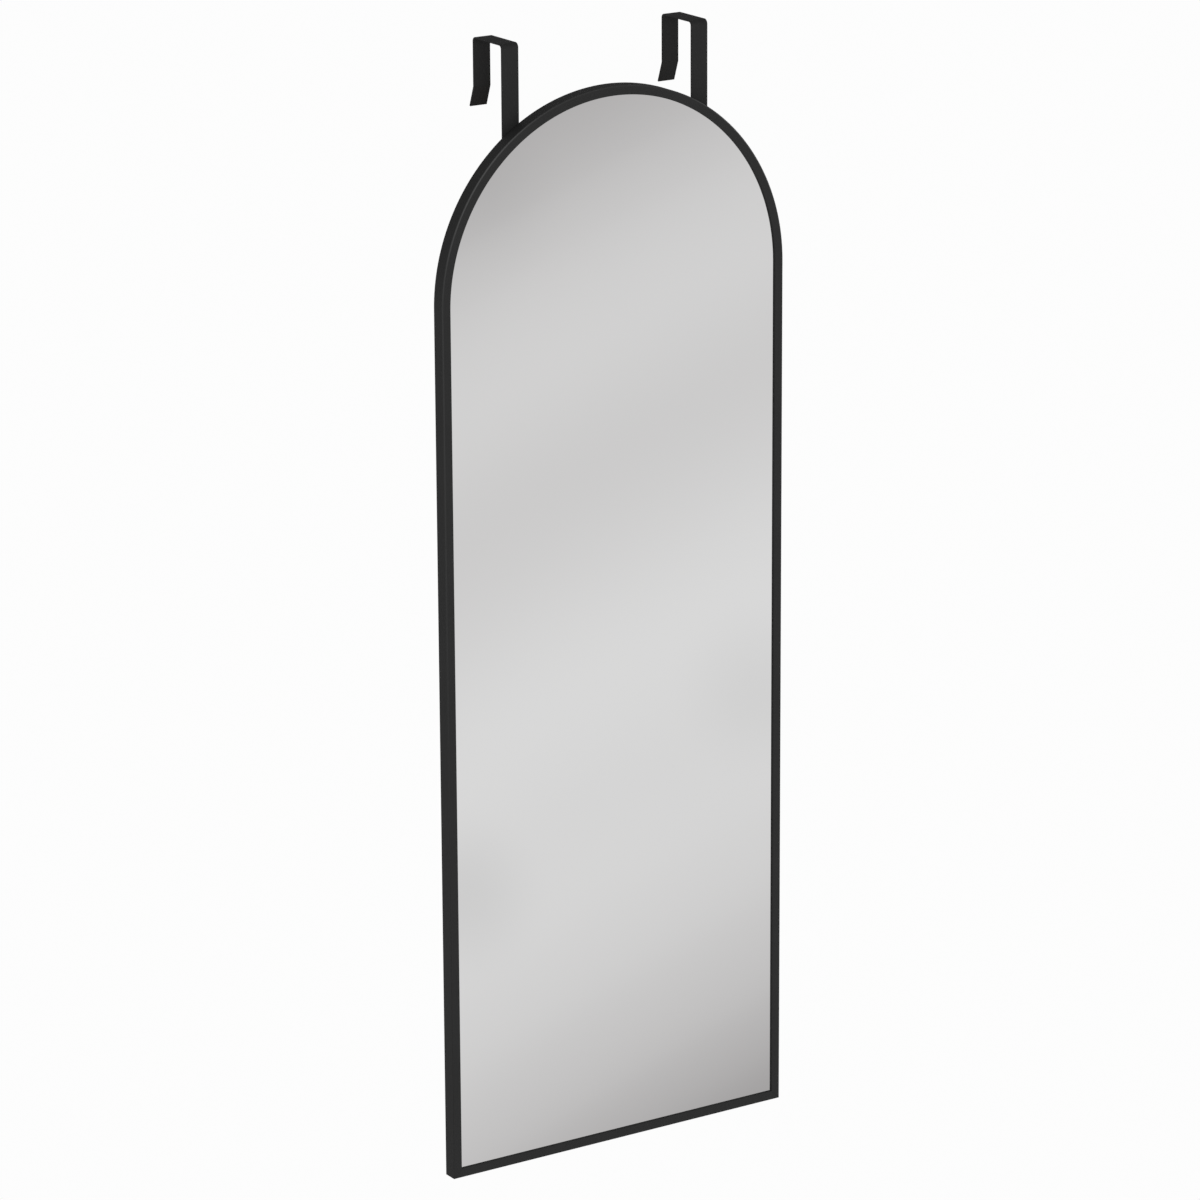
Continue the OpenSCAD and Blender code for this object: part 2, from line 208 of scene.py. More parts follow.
class Finish(Wiring):
    """The finish of one or more pieces: a Principled surface, and the nodes that vary it."""

    BEVEL_SAMPLES = 8
    EDGE_STARTS = 0.02
    EDGE_FULL = 0.3

    def __init__(self, name, **plain):
        self.material = bpy.data.materials.new(name)
        super().__init__(self.material, "ShaderNodeOutputMaterial")
        self.shader = self.add("ShaderNodeBsdfPrincipled")["BSDF"]
        self.show(self.shader)
        self.set(**plain)

    def set(self, **sockets):
        """Feeds the surface's own sockets. Underscores stand for spaces."""
        for name, value in sockets.items():
            self.feed(self.shader.socket.node, name.replace("_", " "), value)

    def eased(self, radius):
        """The surface's normal with its sharp edges eased by this radius."""
        bevel = self.add("ShaderNodeBevel", {"Radius": radius}, samples=self.BEVEL_SAMPLES)
        return bevel["Normal"]

    def relief(self, height, depth, normal=None):
        """The surface's normal over a relief this many metres deep."""
        sockets = {"Height": height, "Distance": depth}
        if normal:
            sockets["Normal"] = normal
        return self.add("ShaderNodeBump", sockets)["Normal"]

    def edges(self, eased):
        """0 on a flat face and 1 on a sharp edge, from the eased normal."""
        flat = self.add("ShaderNodeNewGeometry")["Normal"]
        agreed = self.vector_math("DOT_PRODUCT", eased, flat)["Value"]
        return self.between(1 - agreed, self.EDGE_STARTS, self.EDGE_FULL)

    def dress(self, *names):
        """Puts the finish on these CAD nodes."""
        for name in names:
            for slot in nodes[name].material_slots:
                slot.material = self.material


def grey(level):
    return (level, level, level, 1)


class PowderCoat(Finish):
    """Matt black powder coat: orange peel of about a millimetre over a finer grain."""

    PEEL = 1.3 * MM
    GRAIN = 0.3 * MM
    CLOUD = 60 * MM
    DEPTH = 0.04 * MM
    EASE = 0.35 * MM

    def __init__(self, name, body):
        super().__init__(name, Specular_IOR_Level=0.12)
        self.point = self.place()
        self.eased_normal = self.eased(self.EASE)
        self.corner = self.edges(self.eased_normal)
        self.peel = self.mottle(self.point, self.PEEL)
        self.grain = self.between(self.mottle(self.point, self.GRAIN, 3), 0.3, 0.7)
        cloud = self.mottle(self.point, self.CLOUD)
        light_and_shade = 0.5 * self.grain + 0.3 * self.peel + 0.2 * cloud
        self.shade = self.blend(light_and_shade, grey(body * 0.55), grey(body * 1.45))

    def brighten_wear_and_highlight(self, wear_and_highlight_share, wear_and_highlight_colour):
        """Brightens and smooths the coat: rubbed wear, and on the frame a painted highlight too.
        """
        height = 0.7 * self.peel + 0.2 * self.grain
        self.set(
            Base_Color=self.blend(wear_and_highlight_share, self.shade, grey(wear_and_highlight_colour)),
            Roughness=0.6 + 0.12 * (self.grain - 0.5) - 0.1 * wear_and_highlight_share,
            Normal=self.relief(height, self.DEPTH, self.eased_normal),
        )


FRAME_BLACK = 0.024
# The brighter colour of the rubbed corners, also used for the painted ridge highlight.
FRAME_WEAR_AND_HIGHLIGHT = 0.075
CORNER_WEAR = 0.15
# Width, reach and strength of the painted highlight along the ridge round the front.
RIDGE_WIDE = 1.6 * MM
RIDGE_CREST = 0.3 * RIDGE_WIDE
STILE_HIGHLIGHT = 0.3
STILE_HIGHLIGHT_STARTS = 0.65
STILE_HIGHLIGHT_FULL = 0.10
SHOULDER_HIGHLIGHT = 0.7
SHOULDER_RISE = 0.65
CROWN_HIGHLIGHT_CUT = 0.8
CROWN_HIGH = 60 * MM

frame_low, frame_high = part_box("arch_frame")
arch_radius = frame_high.x
arch_foot = frame_high.z - arch_radius

frame_coat = PowderCoat("frame_powder_coat", FRAME_BLACK)
aside, depth, height = frame_coat.parted(frame_coat.point)
above_foot = frame_coat.math("MAXIMUM", height - arch_foot, 0.0)
reach = frame_coat.length(frame_coat.joined(X=aside, Z=above_foot))

# A painted highlight runs along the ridge round the front, where the outer wall meets the face.
# It is faint on the stiles below the arch's foot, strongest on the arch's shoulders, and hardly
# there at its crown. It brightens the coat's colour and lowers its roughness.
outer = frame_coat.between(reach, arch_radius - RIDGE_WIDE, arch_radius - RIDGE_CREST)
front = frame_coat.between(depth, frame_low.y + RIDGE_WIDE, frame_low.y + RIDGE_CREST)
stiles = frame_coat.between(height, arch_foot - STILE_HIGHLIGHT_STARTS, arch_foot - STILE_HIGHLIGHT_FULL)
shoulders = frame_coat.between(height, arch_foot, arch_foot + SHOULDER_RISE * arch_radius)
crown = frame_coat.between(height, frame_high.z - CROWN_HIGH, frame_high.z)
painted_ridge_highlight = (STILE_HIGHLIGHT * stiles + SHOULDER_HIGHLIGHT * shoulders) * (1 - CROWN_HIGHLIGHT_CUT * crown)
# Rubbed wear on every corner, plus the painted ridge highlight, both in the brighter colour.
frame_coat.brighten_wear_and_highlight(CORNER_WEAR * frame_coat.corner + outer * front * painted_ridge_highlight, FRAME_WEAR_AND_HIGHLIGHT)

SHARP_ANGLE = math.radians(40)
SAME_POINT = 0.001 * MM


def closed_form(name, rings, finish):
    """A closed piece: a skin drawn from ring to ring of points, and its two ends filled."""
    form = bmesh.new()
    rings = [[form.verts.new(point) for point in ring] for ring in rings]
    for ring, following in zip(rings, rings[1:]):
        for index in range(len(ring)):
            nearby = (index + 1) % len(ring)
            form.faces.new((ring[index], following[index], following[nearby], ring[nearby]))
    form.faces.new(rings[0])
    form.faces.new(list(reversed(rings[-1])))
    bmesh.ops.remove_doubles(form, verts=form.verts, dist=SAME_POINT)
    bmesh.ops.recalc_face_normals(form, faces=form.faces)
    mesh = bpy.data.meshes.new(name)
    form.to_mesh(mesh)
    form.free()
    mesh.shade_smooth()
    mesh.set_sharp_from_angle(angle=SHARP_ANGLE)
    mesh.materials.append(finish.material)
    piece = bpy.data.objects.new(name, mesh)
    bpy.context.scene.collection.objects.link(piece)
    flatness = piece.modifiers.new("flat_faces_stay_flat", "WEIGHTED_NORMAL")
    flatness.keep_sharp = True
    return piece


CHANNEL_LIP = 2.0 * MM
CHANNEL_WALL = 1.5 * MM
CHANNEL_FLANGE = 1.5 * MM
CHANNEL_EDGE = 0.6 * MM
EDGE_STEPS = 5
MITRE_EASE = 0.12 * MM
ARCH_STEPS = 180
LEFT = -1
RIGHT = 1
UPWARDS = Vector((0, 0, 1))
RIGHTWARDS = Vector((1, 0, 0))

rail_low, rail_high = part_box("bottom_rail")
rim = rail_high.z - rail_low.z
channel_deep = frame_high.y - frame_low.y

# The channel's outline: each point, with the direction that faces out of the metal there. The
# first number runs inwards from the outer wall, and the second backwards from the front.
channel_outline = []
for quarter, (across, deep) in enumerate((
    (rim - CHANNEL_EDGE, CHANNEL_EDGE),
    (CHANNEL_EDGE, CHANNEL_EDGE),
    (CHANNEL_EDGE, channel_deep - CHANNEL_EDGE),
    (rim - CHANNEL_EDGE, channel_deep - CHANNEL_EDGE),
)):
    for step in range(EDGE_STEPS + 1):
        angle = -(quarter + step / EDGE_STEPS) * math.pi / 2
        out = Vector((math.cos(angle), math.sin(angle)))
        channel_outline.append((Vector((across, deep)) + CHANNEL_EDGE * out, out))
for across, deep in (
    (rim, channel_deep - CHANNEL_FLANGE),
    (CHANNEL_WALL, channel_deep - CHANNEL_FLANGE),
    (CHANNEL_WALL, CHANNEL_LIP),
    (rim, CHANNEL_LIP),
):
    channel_outline.append((Vector((across, deep)), Vector((0, 0))))


def channel_ring(place, inwards, drawn_in=0.0):
    """The channel's outline with its front outer corner at this place."""
    ring = []
    for point, out in channel_outline:
        across, deep = point - drawn_in * out
        ring.append(place + across * inwards + Vector((0, deep, 0)))
    return ring


def mitred_end(side, onwards):
    """Two rings that start a run of channel at its 45 degree cut, whose edges are eased."""
    corner = Vector((side * arch_radius, frame_low.y, frame_low.z))
    inwards = Vector((-side, 0, 1))
    return [
        channel_ring(corner, inwards, MITRE_EASE),
        channel_ring(corner + MITRE_EASE * onwards, inwards),
    ]


arch_rings = mitred_end(LEFT, UPWARDS)
for step in range(ARCH_STEPS + 1):
    angle = math.pi * (1 - step / ARCH_STEPS)
    out = Vector((math.cos(angle), 0, math.sin(angle)))
    arch_rings.append(channel_ring(Vector((0, frame_low.y, arch_foot)) + arch_radius * out, -out))
arch_rings += reversed(mitred_end(RIGHT, UPWARDS))
rail_rings = mitred_end(LEFT, RIGHTWARDS)
rail_rings += reversed(mitred_end(RIGHT, -RIGHTWARDS))

for name, rings in (("arch_frame", arch_rings), ("bottom_rail", rail_rings)):
    channel = closed_form(name + "_channel", rings, frame_coat)
    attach(channel, "mirror")
    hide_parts(name)


# ---- Corner keys and their screws ----
# Punched steel angles lie against the channel's back flange and tie the mitred corners. They
# are zinc plated, and small black pan-head screws draw the flange on to them.

ZINC_PALE = (0.60, 0.61, 0.62, 1)
ZINC_DULL = (0.44, 0.45, 0.47, 1)
ZINC_PATCH = 3 * MM
ZINC_GRAIN = 0.3 * MM
ZINC_DEPTH = 0.01 * MM
ZINC_EASE = 0.15 * MM
OXIDE_BLACK = (0.018, 0.018, 0.020, 1)
OXIDE_BROWN = (0.034, 0.028, 0.026, 1)
OXIDE_PATCH = 1.5 * MM
OXIDE_GRAIN = 0.2 * MM
OXIDE_DEPTH = 0.01 * MM
OXIDE_EASE = 0.2 * MM


def zinc_plate(name):
    """Bright zinc: a bluish grey with dull patches of a few millimetres."""
    zinc = Finish(name, Metallic=1.0)
    point = zinc.place()
    patch = zinc.mottle(point, ZINC_PATCH, 4)
    grain = zinc.mottle(point, ZINC_GRAIN)
    zinc.set(
        Base_Color=zinc.blend(zinc.between(patch, 0.35, 0.65), ZINC_PALE, ZINC_DULL),
        Roughness=0.3 + 0.2 * (patch - 0.5) + 0.1 * grain,
        Normal=zinc.relief(grain, ZINC_DEPTH, zinc.eased(ZINC_EASE)),
    )
    return zinc


def black_oxide(name):
    """Blackened steel: oily black, with a brown cast where the oxide is thin."""
    oxide = Finish(name, Specular_IOR_Level=0.6)
    point = oxide.place()
    patch = oxide.mottle(point, OXIDE_PATCH, 4)
    grain = oxide.mottle(point, OXIDE_GRAIN)
    eased = oxide.eased(OXIDE_EASE)
    thin = oxide.between(patch + 0.4 * oxide.edges(eased), 0.5, 0.9)
    oxide.set(
        Base_Color=oxide.blend(thin, OXIDE_BLACK, OXIDE_BROWN),
        Roughness=0.34 + 0.15 * (patch - 0.5),
        Normal=oxide.relief(grain, OXIDE_DEPTH, eased),
    )
    return oxide


zinc_plate("key_zinc").dress("left_corner_key", "right_corner_key")
black_oxide("corner_screw_oxide").dress("left_corner_screws", "right_corner_screws")


# ---- Setting blocks ----
# Two strips of moulded rubber in the bottom rail, which the glass and the board stand on. They
# lie loose in the channel, held down by the weight on them.

CORNER_STEPS = 8


def rounded_outline(half_wide, half_long, corner):
    """Points round a rounded oblong, each with the direction that faces out of it there."""
    points = []
    for quarter, (side, end) in enumerate(((1, 1), (-1, 1), (-1, -1), (1, -1))):
        middle = Vector((side * (half_wide - corner), 0, end * (half_long - corner)))
        for step in range(CORNER_STEPS + 1):
            angle = (quarter + step / CORNER_STEPS) * math.pi / 2
            out = Vector((math.cos(angle), 0, math.sin(angle)))
            points.append((middle + corner * out, out))
    return points


def pressed_pad(name, middle, outline, levels, finish):
    """A closed pad: the outline drawn at each level, a depth and how far it's drawn in there."""
    rings = [
        [middle + Vector((0, depth, 0)) + point - drawn_in * out for point, out in outline]
        for depth, drawn_in in levels
    ]
    return closed_form(name, rings, finish)


BLOOM_PATCH = 6 * MM
PORE_DEPTH = 0.06 * MM


def moulded_rubber(name, body, pore):
    """Matt black rubber with fine pores and a dusty bloom."""
    rubber = Finish(name, Specular_IOR_Level=0.25)
    point = rubber.place()
    bloom = rubber.mottle(point, BLOOM_PATCH, 4)
    pores = rubber.between(rubber.mottle(point, pore, 3), 0.4, 0.62)
    rubber.set(
        Base_Color=rubber.blend(bloom, grey(body * 0.7), grey(body * 1.4)),
        Roughness=0.82 + 0.12 * (bloom - 0.5),
        Normal=rubber.relief(pores, PORE_DEPTH),
    )
    return rubber


BLOCK_BLACK = 0.035
BLOCK_PORE = 0.35 * MM
BLOCK_EASE = 0.3 * MM
BLOCK_CORNER = 0.4 * MM

block_rubber = moulded_rubber("block_rubber", BLOCK_BLACK, BLOCK_PORE)

for name in ("left_setting_block", "right_setting_block"):
    low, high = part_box(name)
    half = (high - low) / 2
    levels = [
        (-half.y, BLOCK_EASE),
        (-half.y + BLOCK_EASE, 0),
        (half.y - BLOCK_EASE, 0),
        (half.y, BLOCK_EASE),
    ]
    outline = rounded_outline(half.x, half.z, BLOCK_CORNER)
    block = pressed_pad(name + "_rubber", (low + high) / 2, outline, levels, block_rubber)
    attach(block, "mirror")
    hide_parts(name)


# ---- Mirror ----
# Polished float glass, silvered and sealed on its back, so it shows almost nothing but what it
# reflects. Handling leaves the faintest haze on it.

SILVER_COOL = (0.865, 0.866, 0.867, 1)
SILVER_WARM = (0.871, 0.867, 0.864, 1)
SILVER_CLOUD = 300 * MM
HAZE_PATCH = 90 * MM
CLEAR_ROUGHNESS = 0.008
HAZE_ROUGHNESS = 0.02

silvered_glass = Finish("silvered_glass", Metallic=1.0)
glass_point = silvered_glass.place()
silver_cloud = silvered_glass.mottle(glass_point, SILVER_CLOUD)
haze = silvered_glass.between(silvered_glass.mottle(glass_point, HAZE_PATCH, 5), 0.45, 0.75)
silvered_glass.set(
    Base_Color=silvered_glass.blend(silver_cloud, SILVER_COOL, SILVER_WARM),
    Roughness=CLEAR_ROUGHNESS + HAZE_ROUGHNESS * haze,
)
silvered_glass.dress("mirror_glass")


# ---- Safety film ----
# A tough grey-blue film rolled on to the back of the glass, which holds the pieces together
# if it breaks. It has a plastic gloss, with a few soft ripples left by the roller.

FILM_LIGHT = (0.27, 0.31, 0.34, 1)
FILM_DARK = (0.22, 0.26, 0.29, 1)
RIPPLE_WIDE = 25 * MM
RIPPLE_DEPTH = 0.15 * MM
RIPPLE_SCALE = (1, 1, 0.1)

safety_film = Finish("safety_film", Specular_IOR_Level=0.5)
film_point = safety_film.place()
ripple = safety_film.mottle(safety_film.stretched(film_point, RIPPLE_SCALE), RIPPLE_WIDE, 3)
safety_film.set(
    Base_Color=safety_film.blend(ripple, FILM_LIGHT, FILM_DARK),
    Roughness=0.22 + 0.12 * ripple,
    Normal=safety_film.relief(ripple, RIPPLE_DEPTH),
)
safety_film.dress("safety_film")


# ---- Foam tape ----
# White closed-cell foam with adhesive on both faces. Four strips run up the board and one lies
# across it in the arch, and they bond the filmed glass to the board.

TAPE_WIDE = 20 * MM
TAPE_PLACES = (-0.77, -0.27, 0.27, 0.77)
TAPE_EASE = 0.15 * MM
TAPE_CORNER = 0.5 * MM
ARCH_STRIP_SHARE = 0.6
FOAM_WHITE = (0.76, 0.75, 0.71, 1)
FOAM_SHADE = (0.62, 0.61, 0.57, 1)
FOAM_CELL = 0.4 * MM
CELL_DEPTH = 0.08 * MM

cell_foam = Finish("cell_foam", Specular_IOR_Level=0.3)
cells = cell_foam.mottle(cell_foam.place(), FOAM_CELL, 3)
cell_foam.set(
    Base_Color=cell_foam.blend(cell_foam.between(cells, 0.35, 0.6), FOAM_SHADE, FOAM_WHITE),
    Roughness=0.9 - 0.1 * cells,
    Normal=cell_foam.relief(cells, CELL_DEPTH),
)

tape_low, tape_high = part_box("foam_tape")
tape_depth = (tape_low.y + tape_high.y) / 2
tape_half = (tape_high.y - tape_low.y) / 2
tape_levels = [
    (-tape_half, 0),
    (-tape_half + TAPE_EASE, TAPE_EASE),
    (tape_half - TAPE_EASE, TAPE_EASE),
    (tape_half, 0),
]

# Each strip's middle, and half its width and height.
strip_top = arch_foot - TAPE_WIDE / 2
strip_half = (strip_top - tape_low.z) / 2
strips = []
for share in TAPE_PLACES:
    middle = Vector((share * arch_radius, tape_depth, (tape_low.z + strip_top) / 2))
    strips.append((middle, TAPE_WIDE / 2, strip_half))
middle = Vector((0, tape_depth, tape_high.z - TAPE_WIDE / 2))
strips.append((middle, ARCH_STRIP_SHARE * arch_radius / 2, TAPE_WIDE / 2))

for number, (middle, half_wide, half_long) in enumerate(strips, 1):
    outline = rounded_outline(half_wide, half_long, TAPE_CORNER)
    strip = pressed_pad(f"foam_strip_{number}", middle, outline, tape_levels, cell_foam)
    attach(strip, "mirror")
    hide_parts("foam_tape")


# ---- Backing board ----
# Wet-pressed brown fibreboard that closes the frame's back. Its fibres lie every way as dark and
# light flecks, and the wire screen that it was pressed on shows as a faint weave.

BOARD_BROWN = (0.205, 0.122, 0.066, 1)
BOARD_PALE = (0.330, 0.215, 0.125, 1)
BOARD_DARK = (0.085, 0.048, 0.026, 1)
BOARD_DEPTH = 0.12 * MM
PULP_PATCH = 70 * MM
SHIVE_SIZE = 1.8 * MM
SHIVE_SCALE = (0.4, 1, 1)
SCREEN_PITCH = 1.6 * MM
FIBRE_LONG = 4.5
FIBRE_FINE = 0.45 * MM
FIBRE_SLANTS = (8, 61, 107, 152)

board = Finish("pressed_fibreboard", Specular_IOR_Level=0.3)
board_point = board.place()
pulp = board.mottle(board_point, PULP_PATCH, 5)
shive = board.mottle(board.stretched(board_point, SHIVE_SCALE), SHIVE_SIZE, 2)


def fibres(slant):
    """Noise drawn out into fibres that lie at this slant across the board, in degrees."""
    sockets = {"Vector": board_point, "Angle": math.radians(slant)}
    turned = board.add("ShaderNodeVectorRotate", sockets, rotation_type="Y_AXIS")["Vector"]
    return board.mottle(board.stretched(turned, (1, 1, 1 / FIBRE_LONG)), FIBRE_FINE, 3)


def wire(along):
    """A soft wave that rises once for each wire of the screen."""
    return 0.5 + 0.5 * board.math("SINE", along * (2 * math.pi / SCREEN_PITCH))


board_aside, _, board_height = board.parted(board_point)
weave = wire(board_aside) * wire(board_height)

# Dark fibres show where any of the slants is low, and pale ones where any of them is high.
dark_fibre = pale_fibre = fibres(FIBRE_SLANTS[0])
for slant in FIBRE_SLANTS[1:]:
    lie = fibres(slant)
    dark_fibre = board.math("MINIMUM", dark_fibre, lie)
    pale_fibre = board.math("MAXIMUM", pale_fibre, lie)

brown = board.blend(0.22 * board.between(pulp, 0.3, 0.7), BOARD_BROWN, BOARD_PALE)
brown = board.blend(0.7 * board.between(dark_fibre, 0.4, 0.29), brown, BOARD_DARK)
brown = board.blend(0.6 * board.between(pale_fibre, 0.62, 0.72), brown, BOARD_PALE)
brown = board.blend(0.7 * board.between(shive, 0.66, 0.74), brown, BOARD_DARK)
board.set(
    Base_Color=board.blend(0.12 * weave, brown, BOARD_DARK),
    Roughness=0.66 + 0.15 * (pale_fibre - dark_fibre) + 0.1 * weave,
    Normal=board.relief(0.5 * pale_fibre + 0.35 * (1 - weave), BOARD_DEPTH),
)
board.dress("backing_board")


# ---- Spring clips ----
# Bowed strips of bright spring steel, pressed in between the channel's flange and the board.
# Rolling leaves fine lines in them, and the heat of tempering a little straw colour.

SPRING_BRIGHT = (0.56, 0.57, 0.58, 1)
SPRING_STRAW = (0.52, 0.48, 0.40, 1)
SPRING_DEPTH = 0.008 * MM
SPRING_EASE = 0.1 * MM
HEAT_PATCH = 14 * MM
ROLLED_LINE = 0.15 * MM
ROLLED_SCALE = (1, 1, 0.04)

spring_steel = Finish("tempered_spring_steel", Metallic=1.0)
spring_point = spring_steel.place()
straw = spring_steel.between(spring_steel.mottle(spring_point, HEAT_PATCH, 2), 0.45, 0.7)
rolled = spring_steel.mottle(spring_steel.stretched(spring_point, ROLLED_SCALE), ROLLED_LINE, 2)
spring_steel.set(
    Base_Color=spring_steel.blend(0.6 * straw, SPRING_BRIGHT, SPRING_STRAW),
    Roughness=0.24 + 0.16 * rolled,
    Normal=spring_steel.relief(rolled, SPRING_DEPTH, spring_steel.eased(SPRING_EASE)),
)
spring_steel.dress("spring_clips")


# ---- Tee nuts ----
# Brass tee nuts pushed through the board from the side of the glass. Their barrels end just
# inside the carriers and take the clamp screws. The lathe leaves fine rings round them.

BRASS_BRIGHT = (0.62, 0.48, 0.22, 1)
BRASS_DULL = (0.45, 0.33, 0.15, 1)
BRASS_DEPTH = 0.01 * MM
BRASS_EASE = 0.15 * MM
TARNISH_PATCH = 2.5 * MM
TURNED_LINE = 0.12 * MM
TURNED_SCALE = (0.02, 1, 0.02)

nut_brass = Finish("turned_brass", Metallic=1.0)
nut_point = nut_brass.place()
tarnish = nut_brass.mottle(nut_point, TARNISH_PATCH, 4)
turned_rings = nut_brass.mottle(nut_brass.stretched(nut_point, TURNED_SCALE), TURNED_LINE, 1)
nut_brass.set(
    Base_Color=nut_brass.blend(tarnish, BRASS_BRIGHT, BRASS_DULL),
    Roughness=0.26 + 0.2 * tarnish,
    Normal=nut_brass.relief(turned_rings, BRASS_DEPTH, nut_brass.eased(BRASS_EASE)),
)
nut_brass.dress("left_tee_nuts", "right_tee_nuts")


# ---- Hook carriers ----
# Moulded black nylon, one for each hook, with two ribs that guide the strap. The mould's spark
# texture shows as a fine even grain. Zinc-plated wood screws hold each one to the board.

NYLON_BLACK = 0.016
NYLON_DEPTH = 0.03 * MM
NYLON_EASE = 0.4 * MM
SPARK_GRAIN = 0.3 * MM
FLOW_PATCH = 12 * MM
FLOW_SCALE = (1, 1, 0.3)

nylon = Finish("carrier_nylon", Specular_IOR_Level=0.45)
nylon_point = nylon.place()
spark = nylon.between(nylon.mottle(nylon_point, SPARK_GRAIN, 3), 0.35, 0.65)
flow = nylon.mottle(nylon.stretched(nylon_point, FLOW_SCALE), FLOW_PATCH, 3)
nylon_eased = nylon.eased(NYLON_EASE)
paler = 0.6 * flow + 0.4 * nylon.edges(nylon_eased)
nylon.set(
    Base_Color=nylon.blend(paler, grey(NYLON_BLACK), grey(NYLON_BLACK * 2)),
    Roughness=0.46 + 0.12 * spark + 0.1 * (flow - 0.5),
    Normal=nylon.relief(spark, NYLON_DEPTH, nylon_eased),
)
nylon.dress("left_hook_carrier", "right_hook_carrier")
zinc_plate("wood_screw_zinc").dress("left_carrier_screws", "right_carrier_screws")


# ---- Hooks ----
# Flat steel strap, slotted and bent over the door, and flared at the tip so that it slips on.
# It has the frame's powder coat, a touch darker, and brighter where the door rubs its edges.

HOOK_BLACK = 0.021
HOOK_RUBBED = 0.036
HOOK_WEAR = 0.6

hook_coat = PowderCoat("hook_powder_coat", HOOK_BLACK)
hook_coat.brighten_wear_and_highlight(HOOK_WEAR * hook_coat.corner, HOOK_RUBBED)
hook_coat.dress("left_hook", "right_hook")


# ---- Clamp washers and screws ----
# Low-head socket screws in black oxide draw zinc-plated washers on to the slotted shanks, and
# so hold the mirror at the height that it was set to.

zinc_plate("washer_zinc").dress("left_clamp_washers", "right_clamp_washers")
black_oxide("clamp_screw_oxide").dress("left_clamp_screws", "right_clamp_screws")


# ---- Door bumpers ----
# Die-cut blocks of black closed-cell foam rubber, stuck on the board. They stand proud of the
# hooks and the frame, so that nothing hard touches the door.

BUMPER_BLACK = 0.045
BUMPER_PORE = 0.5 * MM
BUMPER_CROWN = 0.5 * MM
BUMPER_WAIST = 0.35 * MM
BUMPER_ROUND = 1.2 * MM
SIDE_STEPS = 6
ROUND_STEPS = 6
CROWN_STEPS = 4

bumper_foam = moulded_rubber("bumper_foam", BUMPER_BLACK, BUMPER_PORE)


def bumper_levels(half):
    """The cut sides draw in a little at the waist, and the face is rounded to a low crown."""
    round_foot = half.y - BUMPER_ROUND - BUMPER_CROWN
    levels = []
    for step in range(SIDE_STEPS + 1):
        share = step / SIDE_STEPS
        depth = -half.y + share * (round_foot + half.y)
        levels.append((depth, BUMPER_WAIST * math.sin(share * math.pi)))
    for step in range(1, ROUND_STEPS + 1):
        angle = step / ROUND_STEPS * math.pi / 2
        depth = round_foot + BUMPER_ROUND * math.sin(angle)
        levels.append((depth, BUMPER_ROUND * (1 - math.cos(angle))))
    for step in range(1, CROWN_STEPS):
        share = step / CROWN_STEPS
        depth = half.y - BUMPER_CROWN * (1 - share) ** 2
        levels.append((depth, BUMPER_ROUND + share * (half.x - BUMPER_ROUND)))
    return levels


for name in ("upper_left_bumper", "upper_right_bumper", "lower_left_bumper", "lower_right_bumper"):
    low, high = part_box(name)
    half = (high - low) / 2
    middle = (low + high) / 2
    outline = rounded_outline(half.x, half.z, half.x)
    bumper = pressed_pad(name + "_pad", middle, outline, bumper_levels(half), bumper_foam)
    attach(bumper, "mirror")
    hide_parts(name)


# ---- Floor, backdrop and light ----
# A pale floor lies as far below the mirror as it would under a door of usual height. Far from
# the mirror it turns plain white, as the backdrop is.

FLOOR_HEIGHT = -2.03
FLOOR_REACH = 40
FLOOR_PALE = 0.9
FLOOR_SHADE_FADES = 0.8
FLOOR_SHADE_ENDS = 1.7
WHITE = 0.98


def staged(name, material, build, **size):
    """A stage object with this material, whose mesh one of bmesh's own operators builds."""
    form = bmesh.new()
    build(form, **size)
    mesh = bpy.data.meshes.new(name)
    form.to_mesh(mesh)
    form.free()
    mesh.materials.append(material)
    stage = bpy.data.objects.new(name, mesh)
    bpy.context.scene.collection.objects.link(stage)
    return stage


def shown(wiring):
    """1 for a ray that comes from the camera, or from it by way of metal or glass."""
    rays = wiring.add("ShaderNodeLightPath")
    seen = rays["Is Camera Ray"] + rays["Is Glossy Ray"] + rays["Is Transmission Ray"]
    return wiring.add("ShaderNodeClamp", {"Value": seen})["Result"]


def glow(wiring, colour):
    """A shader that gives off this colour as it is written."""
    return wiring.add("ShaderNodeEmission", {"Color": colour, "Strength": 1.0})["Emission"]


def mixed(wiring, share, first, second):
    """A shader that goes from the first to the second as the share goes from 0 to 1."""
    return wiring.add("ShaderNodeMixShader", {0: share, 1: first, 2: second})["Shader"]


floor_paint = Finish(
    "floor_paint", Base_Color=grey(FLOOR_PALE), Roughness=1.0, Specular_IOR_Level=0.0
)
away = floor_paint.length(floor_paint.place())
far = floor_paint.between(away, FLOOR_SHADE_FADES, FLOOR_SHADE_ENDS)
plain_white = glow(floor_paint, grey(WHITE))
laid = mixed(floor_paint, far * shown(floor_paint), floor_paint.shader, plain_white)
# Seen from below, the floor is left out, so that it never hides the mirror.
underside = floor_paint.add("ShaderNodeNewGeometry")["Backfacing"]
clear = floor_paint.add("ShaderNodeBsdfTransparent")["BSDF"]
floor_paint.show(mixed(floor_paint, underside, laid, clear))

